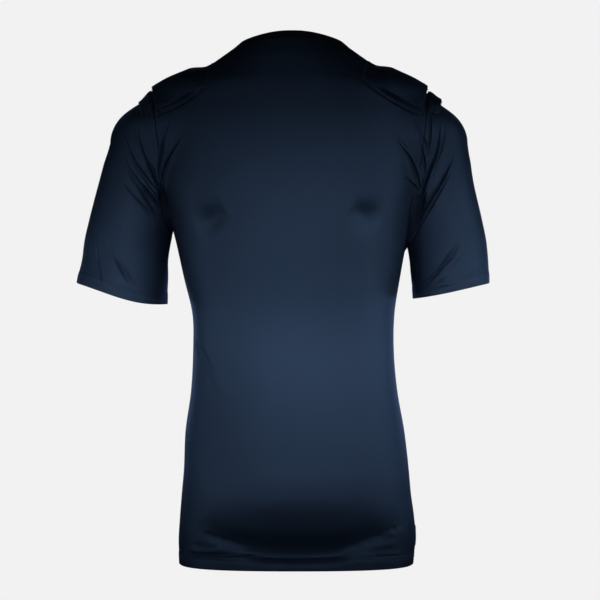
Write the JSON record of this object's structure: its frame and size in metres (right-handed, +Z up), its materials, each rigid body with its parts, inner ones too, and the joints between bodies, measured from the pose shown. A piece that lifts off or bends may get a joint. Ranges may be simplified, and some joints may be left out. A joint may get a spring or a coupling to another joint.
{
  "type": "padded compression shirt",
  "caption": "Close-fitting short-sleeved shirt with a crew neck and foam pads over the shoulders and sleeve heads, filled out as when worn.",
  "frame": {"origin": "between the shoulders, at the height where the shirt rests on them, midway between its front and back", "axes": "+Z up, +Y the way the wearer faces, +X the wearer's right hand"},
  "size_m": [0.5703, 0.2397, 0.7241],
  "materials": {
    "shirt_cloth": "satin stretch knit",
    "neck_rib": "matte rib knit",
    "pad_cover": "satin stretch knit over foam"
  },
  "bodies": {
    "root": {"back_panel": "shirt_cloth", "front_panel": "shirt_cloth", "sleeve_left": "shirt_cloth", "sleeve_right": "shirt_cloth", "neckband": "neck_rib", "shoulder_pad_left": "pad_cover", "shoulder_pad_right": "pad_cover", "cap_pad_left": "pad_cover", "cap_pad_right": "pad_cover"}
  },
  "joints": []
}
